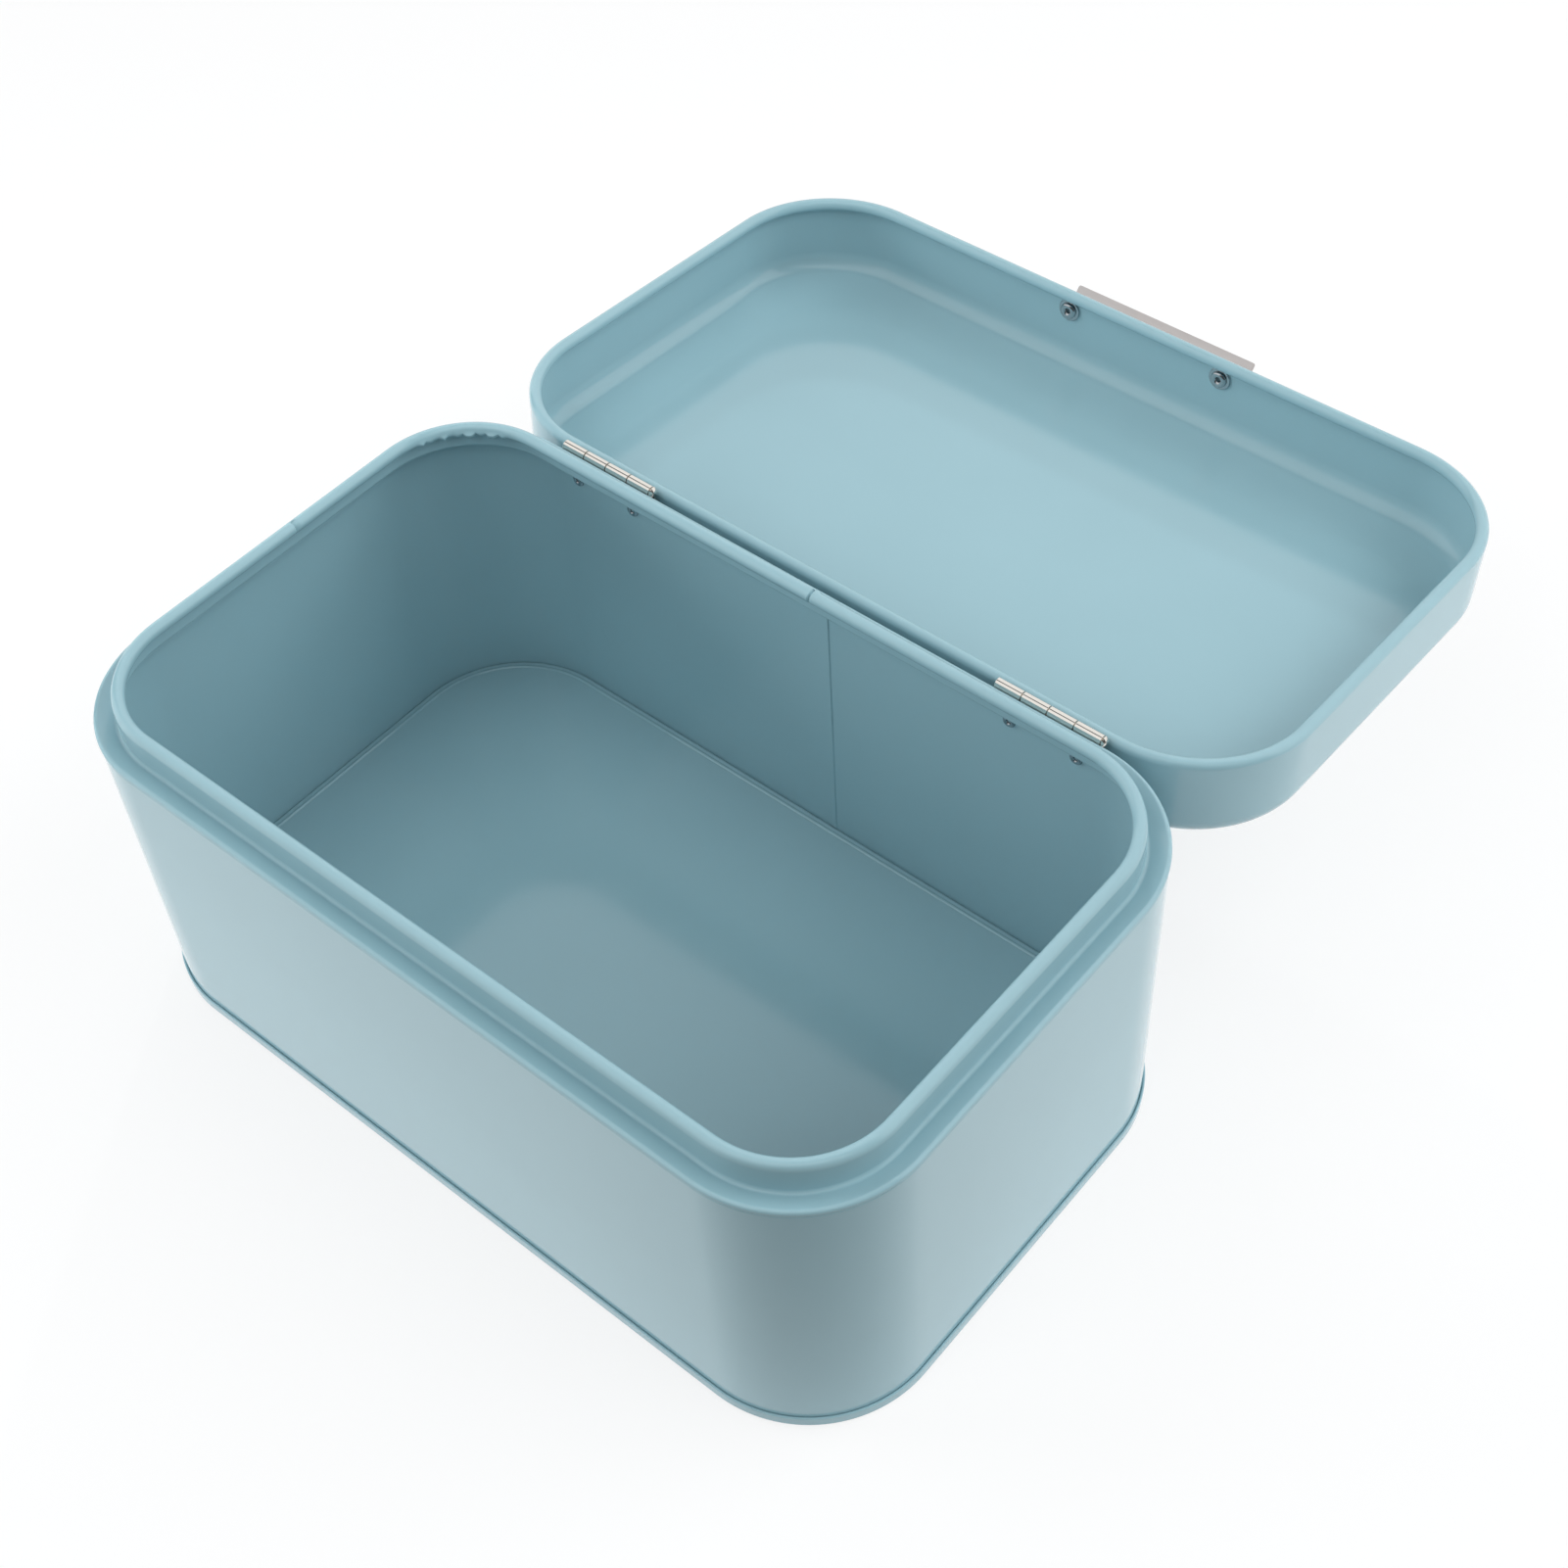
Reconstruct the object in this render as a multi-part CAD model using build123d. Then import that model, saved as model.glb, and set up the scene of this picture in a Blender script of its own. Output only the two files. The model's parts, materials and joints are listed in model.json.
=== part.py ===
from build123d import *
from math import acos, atan2, ceil, copysign, cos, degrees, hypot, radians, sin
import os

os.makedirs("parts", exist_ok=True)

# A sheet-steel bread box with a hinged lid, shown with the lid folded right back.
# X runs along its length, the front faces -Y, the hinges are at the back, and it stands on Z = 0.
# Every piece is modelled with the lid shut, and the pieces that the lid carries are turned open last.

# Sheet steel and the gaps left between pieces
SHEET = 0.4             # wall of the body, the bottom and the lid
PLY_GAP = 0.05          # between sheets that are folded or riveted together
RUNNING_GAP = 0.3       # between body and lid, where one rests on or passes the other
FACET = 0.1             # how far a small bend that goes round the corners may leave its true arc

# Body, measured over the outside of its wall
BODY_LENGTH = 305.0
BODY_DEPTH = 183.7
BODY_CORNER = 42.2      # radius of the upright corners
SHOULDER_HEIGHT = 116.55  # where the wall starts to swell into the shoulder bead
SHOULDER_PROUD = 0.3    # how far the bead stands out from the wall
BEAD_RADIUS = 1.1       # outer face of the shoulder bead
BEAD_ROOT_RADIUS = 0.3  # hollow crease under the bead
LEDGE_SLOPE = 20.0      # fall of the ledge from the bead to the neck, in degrees
RIM_RISE = 11.35        # from there to the top of the rolled rim
NECK_INSET = 7.07       # from the wall in to the face of the neck
NECK_ROOT_RADIUS = 1.0  # hollow at the foot of the neck
RIM_ROLL_RADIUS = 2.13
RIM_ROLL_TURN = 285.0   # how far the rim curls round, in degrees

# Lock seam that joins the two ends of the body's sheet, inside the back wall
SEAM_X = 5.0
SEAM_WIDTH = 3.0
SEAM_PROUD = 0.35

# Bottom pan, whose edge is folded round the foot of the body as a hem
HEM_HEIGHT = 4.5
FLOOR_HEIGHT = 5.2      # upper face of the floor
FLOOR_EDGE_RADIUS = 1.0  # shoulder where the floor turns down beside the wall
HEM_LAND = 0.4          # flat strip of the hem that stands on the table
FOLD_END_HEIGHT = 0.9   # where the outer fold of the hem ends

# Lid, drawn as one pan
LID_HEIGHT = 33.0
LID_END_INSET = 1.0     # how far each end stands in from the body's
LID_FRONT_INSET = 2.0   # the same at the front; its back is flush, for the hinges
LID_CORNER = 42.0       # radius of the upright corners
LID_TOP_RADIUS = 9.0    # edge between its sides and its top
LID_BEAD_RADIUS = 2.2   # inward roll along its lower edge
LID_BEAD_TURN = 285.0

# Hinges
HINGE_INSET = 64.0      # from an end of the box to the middle of a hinge
HINGE_WIDTH = 38.0
KNUCKLES = 4
KNUCKLE_GAP = 0.4
LEAF = 0.8              # thickness of a hinge leaf
LEAF_REACH = 15.0       # from the axis to the leaf's free edge
LEAF_CORNER = 2.0
PIN_RADIUS = 1.05
PIN_CLEARANCE = 0.05
PIN_HEAD_LENGTH = 1.2
AXIS_DROP = 0.8         # how far the axis lies below the lid's lower edge
HINGE_STANDOFF = 0.15   # between the shoulder bead and the back of a knuckle
CRANK_RADIUS = 1.0      # bends of the step between a leaf and its knuckles
KNUCKLE_TURN = 290.0    # how far a leaf is rolled round the pin, in degrees

# Tubular rivets of the hinges, domed outside and clinched inside
HINGE_RIVET_REACH = 9.84  # from the axis to the rivets
HINGE_RIVET_INSET = 6.8  # from an end of a leaf
HINGE_RIVET_HEAD = 3.0
HINGE_RIVET_RISE = 0.98
HINGE_RIVET_SHANK = 1.2
HINGE_RIVET_CLINCH = 2.3
HINGE_RIVET_TAIL = 1.0  # how far the clinched tail stands up inside
HINGE_RIVET_BORE = 0.6
RIVET_HOLE_CLEARANCE = 0.1

# Handle, a strip bent into a hood over the fingers
HANDLE_LENGTH = 75.0
HANDLE_SHEET = 0.9
HANDLE_TOP_RISE = 15.1  # top of the hood above the lid's lower edge
HANDLE_FOOT_RISE = 4.6  # lower edge of the riveted flange
HOOD_REACH = 14.1       # how far the lip stands out from the lid
HOOD_FALL = 55.0        # how far the hood has turned down at its lip, in degrees
HOOD_BEND_RADIUS = 1.0

# Tubular rivets of the handle, clinched over washers inside the lid
HANDLE_RIVET_RISE = 9.2  # above the lid's lower edge
HANDLE_RIVET_INSET = 5.5  # from an end of the strip
HANDLE_RIVET_HEAD = 3.0
HANDLE_RIVET_CROWN = 1.3
HANDLE_RIVET_SHANK = 1.6
HANDLE_RIVET_CLINCH = 3.15
HANDLE_RIVET_TAIL = 1.4
HANDLE_RIVET_BORE = 0.8
WASHER_RADIUS = 4.25
WASHER_THICKNESS = 0.8


# A bent sheet's section: straight runs and tangent bends, laid end to end and given a thickness
def run(length):
    return ("run", length, 0)


def bend(radius, turn):
    """A bend of the sheet's middle; a positive turn is to the left."""
    return ("bend", radius, turn)


def turned(point, angle, distance):
    return point + Vector(cos(radians(angle)), sin(radians(angle))) * distance


def sheet_side(start, heading, steps, shift, flats):
    """One face of the sheet, shift to the left of its middle."""
    point = turned(Vector(*start), heading + 90, shift)
    edges = []
    for (kind, size, turn), count in zip(steps, flats):
        side = copysign(1, turn)
        radius = size - side * shift
        if kind == "run":
            edges.append(Line(point, turned(point, heading, size)))
        elif count:
            centre = turned(point, heading + 90, side * radius)
            for k in range(count):
                angle = heading - 90 * side + turn * (k + 1) / count
                edges.append(Line(edges[-1] @ 1, turned(centre, angle, radius)))
        else:
            edges.append(JernArc(point, (cos(radians(heading)), sin(radians(heading))), radius, turn))
        heading += turn
        point = edges[-1] @ 1
    return edges


def sheet_section(start, heading, steps, thickness, facet=None):
    """Bends are true arcs, or with a facet given, short flats that stay that close to the arc."""
    half = thickness / 2
    flats = [0 for step in steps]
    if facet:
        flats = [ceil(abs(turn) / (2 * degrees(acos(1 - facet / (size + half))))) for kind, size, turn in steps]
    left = sheet_side(start, heading, steps, half, flats)
    right = sheet_side(start, heading, steps, -half, flats)
    near_end = Line(right[0] @ 0, left[0] @ 0)
    far_end = Line(left[-1] @ 1, right[-1] @ 1)
    return make_face([near_end, *left, far_end, *right])


# A section carried round the outline: x is the inset from the wall, y is the height
def ring(section, length, depth, corner):
    pieces = []
    for turn, side, reach in ((0, length, depth), (90, depth, length), (180, length, depth), (270, depth, length)):
        straight = side - 2 * corner
        start = Plane(origin=(-straight / 2, -reach / 2, 0), x_dir=(0, 1, 0), z_dir=(1, 0, 0))
        end = Plane(origin=(straight / 2, -reach / 2, 0), x_dir=(0, 1, 0), z_dir=(1, 0, 0))
        pivot = Axis((straight / 2, corner - reach / 2, 0), (0, 0, 1))
        wall = extrude(start * section, amount=straight)
        quarter = revolve(end * section, axis=pivot, revolution_arc=90)
        pieces += [wall.rotate(Axis.Z, turn), quarter.rotate(Axis.Z, turn)]
    return pieces[0].fuse(*pieces[1:]).clean()


def plate(length, depth, corner, inset, low, high):
    outline = RectangleRounded(length - 2 * inset, depth - 2 * inset, corner - inset)
    return extrude(Plane.XY.offset(low) * outline, amount=high - low)


# Body: foot, wall, shoulder bead, ledge, neck and rolled rim, all in one sheet
foot_height = SHEET + 2 * PLY_GAP
root = BEAD_ROOT_RADIUS + SHEET / 2
crown = BEAD_RADIUS - SHEET / 2
swell = degrees(acos(1 - SHOULDER_PROUD / (root + crown)))
bead_inset = BEAD_RADIUS - SHOULDER_PROUD
bead_height = SHOULDER_HEIGHT + (root + crown) * sin(radians(swell))


def body_section():
    roll = RIM_ROLL_RADIUS - SHEET / 2
    neck_root = NECK_ROOT_RADIUS + SHEET / 2
    fall = sin(radians(LEDGE_SLOPE))
    ledge_start = bead_inset + crown * fall
    ledge_end = NECK_INSET + SHEET / 2 - neck_root * (1 + fall)
    ledge = (ledge_end - ledge_start) / cos(radians(LEDGE_SLOPE))
    neck_foot = bead_height + (crown + neck_root) * cos(radians(LEDGE_SLOPE)) - ledge * fall
    neck_top = SHOULDER_HEIGHT + RIM_RISE - RIM_ROLL_RADIUS
    steps = [run(SHOULDER_HEIGHT - foot_height), bend(root, swell), bend(crown, -swell - 90 - LEDGE_SLOPE)]
    steps += [run(ledge), bend(neck_root, 90 + LEDGE_SLOPE), run(neck_top - neck_foot), bend(roll, -RIM_ROLL_TURN)]
    return sheet_section((SHEET / 2, foot_height), 90, steps, SHEET, FACET)


def body_wrap():
    wrap = ring(body_section(), BODY_LENGTH, BODY_DEPTH, BODY_CORNER)
    seam_foot = FLOOR_HEIGHT + RUNNING_GAP
    seam_top = SHOULDER_HEIGHT - RUNNING_GAP
    seam = Box(SEAM_WIDTH, SEAM_PROUD + SHEET / 2, seam_top - seam_foot)
    seam_y = BODY_DEPTH / 2 - SHEET / 2 - (SEAM_PROUD + SHEET / 2) / 2
    wrap += Pos(SEAM_X, seam_y, (seam_foot + seam_top) / 2) * seam
    for x in hinge_rivet_places:
        wrap -= rivet_hole(x, BODY_DEPTH / 2, axis_height - HINGE_RIVET_REACH, HINGE_RIVET_SHANK)
    return wrap


# Bottom: a floor held up off the table, and an edge folded down, round the body's foot and back on itself
def bottom_panel():
    across = 3 * SHEET + 2 * PLY_GAP
    edge_bend = FLOOR_EDGE_RADIUS - SHEET / 2
    land_bend = (across - SHEET - HEM_LAND) / 2
    fold_bend = (SHEET + PLY_GAP) / 2
    flange_inset = SHEET * 1.5 + PLY_GAP
    start_inset = flange_inset + 2 * edge_bend
    floor_middle = FLOOR_HEIGHT - SHEET / 2
    down = floor_middle - edge_bend - land_bend - SHEET / 2
    up = HEM_HEIGHT - SHEET / 2 - fold_bend - land_bend - SHEET / 2
    back = HEM_HEIGHT - SHEET / 2 - fold_bend - FOLD_END_HEIGHT
    steps = [run(start_inset - flange_inset - edge_bend), bend(edge_bend, 90), run(down), bend(land_bend, -90)]
    steps += [run(HEM_LAND), bend(land_bend, -90), run(up), bend(fold_bend, 180), run(back)]
    section = sheet_section((start_inset, floor_middle), 180, steps, SHEET, FACET)
    edge = ring(section, BODY_LENGTH, BODY_DEPTH, BODY_CORNER)
    floor = plate(BODY_LENGTH, BODY_DEPTH, BODY_CORNER, start_inset, FLOOR_HEIGHT - SHEET, FLOOR_HEIGHT)
    return edge + floor


# Lid: its rolled edge rests on the ledge, just inside the shoulder bead
seat_rise = BEAD_RADIUS + LID_BEAD_RADIUS + RUNNING_GAP
seat_slide = (LID_BEAD_RADIUS - bead_inset) * sin(radians(LEDGE_SLOPE))
lid_seat = bead_height + (seat_rise - seat_slide) / cos(radians(LEDGE_SLOPE)) - LID_BEAD_RADIUS
lid_top = lid_seat + LID_HEIGHT
lid_length = BODY_LENGTH - 2 * LID_END_INSET
lid_depth = BODY_DEPTH - LID_FRONT_INSET
lid_front = LID_FRONT_INSET - BODY_DEPTH / 2

# Hinge axis: its knuckles stand clear of the shoulder bead
barrel_radius = PIN_RADIUS + PIN_CLEARANCE + LEAF
barrel_offset = SHOULDER_PROUD + HINGE_STANDOFF + barrel_radius
axis_y = BODY_DEPTH / 2 + barrel_offset
axis_height = lid_seat - AXIS_DROP
hinge_line = Axis((0, axis_y, axis_height), (1, 0, 0))
hinge_places = (HINGE_INSET - BODY_LENGTH / 2, BODY_LENGTH / 2 - HINGE_INSET)
hinge_rivet_offset = HINGE_WIDTH / 2 - HINGE_RIVET_INSET
hinge_rivet_places = [x + s * hinge_rivet_offset for x in hinge_places for s in (-1, 1)]
handle_rivet_offset = HANDLE_LENGTH / 2 - HANDLE_RIVET_INSET
handle_rivet_places = (-handle_rivet_offset, handle_rivet_offset)

# The lid stops where the domed rivet heads of its leaves meet those of the body's leaves
dome = (HINGE_RIVET_HEAD ** 2 + HINGE_RIVET_RISE ** 2) / (2 * HINGE_RIVET_RISE)
dome_offset = barrel_offset - PLY_GAP - LEAF - HINGE_RIVET_RISE + dome
stop_turn = acos((dome + RUNNING_GAP / 2) / hypot(dome_offset, HINGE_RIVET_REACH))
OPEN_ANGLE = 180 + 2 * (degrees(stop_turn) - degrees(atan2(HINGE_RIVET_REACH, dome_offset)))


def lid_shell():
    edge_bend = LID_TOP_RADIUS - SHEET / 2
    bead_bend = LID_BEAD_RADIUS - SHEET / 2
    start_inset = 2 * LID_TOP_RADIUS
    side = LID_HEIGHT - LID_TOP_RADIUS - LID_BEAD_RADIUS
    steps = [run(start_inset - LID_TOP_RADIUS), bend(edge_bend, 90), run(side), bend(bead_bend, LID_BEAD_TURN)]
    section = sheet_section((start_inset, lid_top - SHEET / 2), 180, steps, SHEET, FACET)
    shell = ring(section, lid_length, lid_depth, LID_CORNER)
    shell += plate(lid_length, lid_depth, LID_CORNER, start_inset, lid_top - SHEET, lid_top)
    shell = Pos(0, LID_FRONT_INSET / 2, 0) * shell
    for x in hinge_rivet_places:
        shell -= rivet_hole(x, BODY_DEPTH / 2, axis_height + HINGE_RIVET_REACH, HINGE_RIVET_SHANK)
    for x in handle_rivet_places:
        shell -= rivet_hole(x, lid_front, lid_seat + HANDLE_RIVET_RISE, HANDLE_RIVET_SHANK)
    return shell


# Rivets: x and y here are the radius and the height along the rivet, from the inside face outwards
def tubular_rivet(head, rise, grip, shank, clinch, tail, bore):
    """A low head outside, and inside a tail that is rolled back round its own bore."""
    outline = Polyline(
        (0, grip + rise), (head - rise, grip + rise), (head, grip), (shank, grip), (shank, 0),
        (clinch, 0), (clinch - tail / 2, -tail), (bore, -tail), (bore, 0), (0, 0), close=True,
    )
    return revolve(Plane.XZ * make_face(outline), axis=Axis.Z)


def across_wall(x, y, z):
    """A place on a front or back wall, with its own Z pointing out of the box."""
    return Plane(origin=(x, y, z), x_dir=(1, 0, 0), z_dir=(0, 1 if y > 0 else -1, 0))


def rivet_hole(x, y, z, shank):
    length = 2 * (SHEET + LEAF + HANDLE_SHEET)
    return across_wall(x, y, z) * Cylinder(shank + RIVET_HOLE_CLEARANCE, length)


def hinge_rivet(x, z):
    rivet = tubular_rivet(
        HINGE_RIVET_HEAD, HINGE_RIVET_RISE, SHEET + 2 * PLY_GAP + LEAF,
        HINGE_RIVET_SHANK, HINGE_RIVET_CLINCH, HINGE_RIVET_TAIL, HINGE_RIVET_BORE,
    )
    return across_wall(x, BODY_DEPTH / 2 - SHEET - PLY_GAP, z) * rivet


def handle_rivet(x):
    stack = SHEET + WASHER_THICKNESS + HANDLE_SHEET + 3 * PLY_GAP
    rivet = tubular_rivet(
        HANDLE_RIVET_HEAD, HANDLE_RIVET_CROWN, stack,
        HANDLE_RIVET_SHANK, HANDLE_RIVET_CLINCH, HANDLE_RIVET_TAIL, HANDLE_RIVET_BORE,
    )
    inside = SHEET + WASHER_THICKNESS + 2 * PLY_GAP
    return across_wall(x, lid_front + inside, lid_seat + HANDLE_RIVET_RISE) * rivet


def handle_washer(x):
    hole = Cylinder(HANDLE_RIVET_SHANK + RIVET_HOLE_CLEARANCE, 2 * WASHER_THICKNESS)
    washer = Cylinder(WASHER_RADIUS, WASHER_THICKNESS) - hole
    inside = SHEET + PLY_GAP + WASHER_THICKNESS / 2
    return across_wall(x, lid_front + inside, lid_seat + HANDLE_RIVET_RISE) * washer


# Hinge leaf: flat on the wall, cranked out past the shoulder bead and rolled round the pin
def leaf_section():
    wrap_radius = PIN_RADIUS + PIN_CLEARANCE + LEAF / 2
    step_out = SHOULDER_PROUD + HINGE_STANDOFF - PLY_GAP
    crank = degrees(acos(1 - step_out / (2 * CRANK_RADIUS)))
    crank_length = 2 * CRANK_RADIUS * sin(radians(crank))
    flat = LEAF_REACH - barrel_radius - crank_length
    steps = [run(flat), bend(CRANK_RADIUS, -crank), bend(CRANK_RADIUS, crank)]
    steps += [run(barrel_radius), bend(wrap_radius, -KNUCKLE_TURN)]
    return sheet_section((PLY_GAP + LEAF / 2, -LEAF_REACH), 90, steps, LEAF)


def hinge_leaf(x, first_knuckle, lid_side):
    """The body's leaf hangs below the axis; the lid's leaf is the same one turned over."""
    section_plane = Plane(
        origin=(x - HINGE_WIDTH / 2, BODY_DEPTH / 2, axis_height), x_dir=(0, 1, 0), z_dir=(1, 0, 0)
    )
    leaf = extrude(section_plane * leaf_section(), amount=HINGE_WIDTH)
    pitch = HINGE_WIDTH / KNUCKLES
    notch_depth = barrel_radius + KNUCKLE_GAP
    for k in range(KNUCKLES):
        if k % 2 != first_knuckle:
            notch = Box(pitch + KNUCKLE_GAP, 4 * barrel_radius, 2 * notch_depth)
            leaf -= Pos(x - HINGE_WIDTH / 2 + (k + 0.5) * pitch, axis_y, axis_height) * notch
    free_corners = leaf.edges().filter_by(Axis.Y).group_by(Axis.Z)[0]
    leaf = fillet(free_corners, LEAF_CORNER)
    for s in (-1, 1):
        rivet_x = x + s * hinge_rivet_offset
        leaf -= rivet_hole(rivet_x, BODY_DEPTH / 2, axis_height - HINGE_RIVET_REACH, HINGE_RIVET_SHANK)
    if lid_side:
        leaf = leaf.mirror(Plane.XY.offset(axis_height))
    return leaf


def hinge_pin(x):
    along = Plane(origin=(x - HINGE_WIDTH / 2, axis_y, axis_height), x_dir=(0, 1, 0), z_dir=(1, 0, 0))
    shaft = extrude(along * Circle(PIN_RADIUS), amount=HINGE_WIDTH + KNUCKLE_GAP)
    head = extrude(along.offset(HINGE_WIDTH + KNUCKLE_GAP) * Circle(barrel_radius), amount=PIN_HEAD_LENGTH)
    head = chamfer(head.edges().sort_by(Axis.X)[-1], PIN_HEAD_LENGTH / 2)
    return shaft + head


# Handle: a flange riveted to the lid's front, bent out square and rounded down to a lip
def handle_plate():
    middle = HANDLE_SHEET / 2
    bend_middle = HOOD_BEND_RADIUS + middle
    flange = HANDLE_TOP_RISE - middle - bend_middle - HANDLE_FOOT_RISE
    lip_reach = HOOD_REACH - middle * sin(radians(HOOD_FALL))
    hood_radius = (lip_reach - PLY_GAP - middle - bend_middle) / sin(radians(HOOD_FALL))
    steps = [run(flange), bend(bend_middle, -90), bend(hood_radius, -HOOD_FALL)]
    section = sheet_section((PLY_GAP + middle, HANDLE_FOOT_RISE), 90, steps, HANDLE_SHEET)
    front = Plane(origin=(HANDLE_LENGTH / 2, lid_front, lid_seat), x_dir=(0, -1, 0), z_dir=(-1, 0, 0))
    plate_strip = extrude(front * section, amount=HANDLE_LENGTH)
    for x in handle_rivet_places:
        plate_strip -= rivet_hole(x, lid_front, lid_seat + HANDLE_RIVET_RISE, HANDLE_RIVET_SHANK)
    return plate_strip


# The assembly: what stays with the box, and what turns with the lid
fixed = {"body_wrap": body_wrap(), "bottom_panel": bottom_panel()}
turning = {"lid_shell": lid_shell(), "handle_plate": handle_plate()}
for side, x in zip(("left", "right"), handle_rivet_places):
    turning[f"handle_rivet_{side}"] = handle_rivet(x)
    turning[f"handle_washer_{side}"] = handle_washer(x)
for side, x in zip(("left", "right"), hinge_places):
    fixed[f"{side}_hinge_body_leaf"] = hinge_leaf(x, 0, False)
    turning[f"{side}_hinge_lid_leaf"] = hinge_leaf(x, 1, True)
    fixed[f"{side}_hinge_pin"] = hinge_pin(x)
    for number, s in ((1, -1), (2, 1)):
        rivet_x = x + s * hinge_rivet_offset
        fixed[f"{side}_body_rivet_{number}"] = hinge_rivet(rivet_x, axis_height - HINGE_RIVET_REACH)
        turning[f"{side}_lid_rivet_{number}"] = hinge_rivet(rivet_x, axis_height + HINGE_RIVET_REACH)

pieces = dict(fixed)
for name, piece in turning.items():
    pieces[name] = piece.rotate(hinge_line, -OPEN_ANGLE)

for name, piece in pieces.items():
    export_step(piece, f"parts/{name}.step")

print(f"hinge axis y {axis_y:.3f} z {axis_height:.3f}, lid seat {lid_seat:.3f}, opens {OPEN_ANGLE:.3f} degrees")
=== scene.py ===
# An enamelled sheet-steel bread box with its lid folded right back.
# Metres. X runs along the box, its front faces -Y and Z is up.
import bmesh
import bpy
import json
from math import acos, atan2, ceil, copysign, cos, degrees, hypot, pi, radians, sin
from mathutils import Matrix, Vector


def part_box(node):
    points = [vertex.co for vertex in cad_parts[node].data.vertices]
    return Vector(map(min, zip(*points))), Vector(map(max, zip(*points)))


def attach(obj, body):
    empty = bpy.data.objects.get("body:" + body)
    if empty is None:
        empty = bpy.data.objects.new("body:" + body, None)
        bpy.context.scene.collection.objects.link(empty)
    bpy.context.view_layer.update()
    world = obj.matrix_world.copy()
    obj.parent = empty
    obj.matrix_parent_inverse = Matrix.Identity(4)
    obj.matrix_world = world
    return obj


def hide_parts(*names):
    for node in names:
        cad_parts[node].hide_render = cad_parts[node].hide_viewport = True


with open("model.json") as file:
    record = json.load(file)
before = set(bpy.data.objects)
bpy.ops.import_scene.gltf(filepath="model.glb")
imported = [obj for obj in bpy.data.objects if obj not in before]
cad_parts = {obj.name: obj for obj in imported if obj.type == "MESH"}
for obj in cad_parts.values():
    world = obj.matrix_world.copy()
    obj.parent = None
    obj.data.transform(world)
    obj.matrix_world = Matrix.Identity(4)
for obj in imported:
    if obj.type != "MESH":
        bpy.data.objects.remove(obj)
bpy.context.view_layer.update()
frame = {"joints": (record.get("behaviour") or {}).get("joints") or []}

# Body
# One strip of thin sheet steel, bent to an oblong with round corners and joined by a lock seam inside its back wall.
# Its upper edge is rolled in one pass: shoulder bead, sloping ledge for the lid, neck, and a curl that leaves nothing
# sharp.
MM = 0.001
SHEET = 0.4 * MM
LENGTH = 305 * MM
DEPTH = 183.7 * MM
BODY_CORNER = 42.2 * MM
SHOULDER_HEIGHT = 116.55 * MM
SHOULDER_PROUD = 0.3 * MM
BEAD_RADIUS = 1.1 * MM
BEAD_ROOT = 0.3 * MM
BEAD_HEIGHT = 117.42 * MM
GROOVE = 0.4 * MM       # bend radius of the fine dark line right under the bead
GROOVE_DIP = radians(40)
LEDGE_SLOPE = radians(20)
NECK_INSET = 7.07 * MM
NECK_ROOT = 1.0 * MM
RIM_HEIGHT = 127.9 * MM
RIM_ROLL = 2.13 * MM
RIM_ROLL_TURN = radians(285)
FOOT_HEIGHT = 0.5 * MM
FLOOR_HEIGHT = 5.2 * MM
HOLD = 0.25 * MM        # a narrow row of faces is kept beside each bend, so that the flats shade flat
BEND_STEP = radians(12)
CORNER_STEPS = 32
SMOOTH_BELOW = radians(40)
SAME_POINT = 0.01 * MM
SEAM_X = 5.0 * MM
SEAM_WIDTH = 3.0 * MM
SEAM_PROUD = 0.35 * MM
SEAM_TAPER = 0.8        # its folded edges slope in


def start_piece(name, point):
    """A new piece in edit mode, still one single point."""
    bpy.ops.object.select_all(action="DESELECT")
    bpy.ops.mesh.primitive_plane_add(size=SHEET)
    piece = bpy.context.object
    piece.name = name
    piece.data.name = name
    bpy.ops.object.mode_set(mode="EDIT")
    bpy.ops.mesh.merge(type="CENTER")
    bpy.ops.transform.translate(value=point)
    return piece


def extrude(move):
    bpy.ops.mesh.extrude_region_move(TRANSFORM_OT_translate={"value": move})


def draw_section(point, heading, steps):
    """Draws on from the point, across X. A step is (length, 0) for a straight run, (radius, turn) for a bend to the
    left of the heading, or (0, turn) for a sharp corner."""
    for size, turn in steps:
        if size and turn:
            side = copysign(size, turn)
            centre = point + Vector((0, -sin(heading), cos(heading))) * side
            bpy.ops.mesh.spin(steps=ceil(abs(turn) / BEND_STEP), angle=-turn, center=centre, axis=(1, 0, 0))
            point = centre - Vector((0, -sin(heading + turn), cos(heading + turn))) * side
        elif size:
            hold = min(HOLD, size / 4)
            along = Vector((0, cos(heading), sin(heading)))
            for length in (hold, size - 2 * hold, hold):
                extrude(along * length)
            point = point + along * size
        heading += turn
    bpy.ops.mesh.select_all(action="SELECT")


def close_mesh():
    bpy.ops.mesh.select_all(action="SELECT")
    bpy.ops.mesh.remove_doubles(threshold=SAME_POINT)
    bpy.ops.mesh.normals_make_consistent(inside=False)


def carry_round(corner, length=LENGTH, depth=DEPTH, middle=(0, 0, 0)):
    """Carries the section, drawn at the left end of the front, along each wall and round each corner."""
    for quarter, side, reach in ((0, length, depth), (1, depth, length), (2, length, depth), (3, depth, length)):
        turned = Matrix.Rotation(quarter * pi / 2, 3, "Z")
        extrude(turned @ Vector((side - 2 * corner, 0, 0)))
        pivot = Vector(middle) + turned @ Vector((side / 2 - corner, corner - reach / 2, 0))
        bpy.ops.mesh.spin(steps=CORNER_STEPS, angle=-pi / 2, center=pivot, axis=(0, 0, 1))
    close_mesh()


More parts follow.
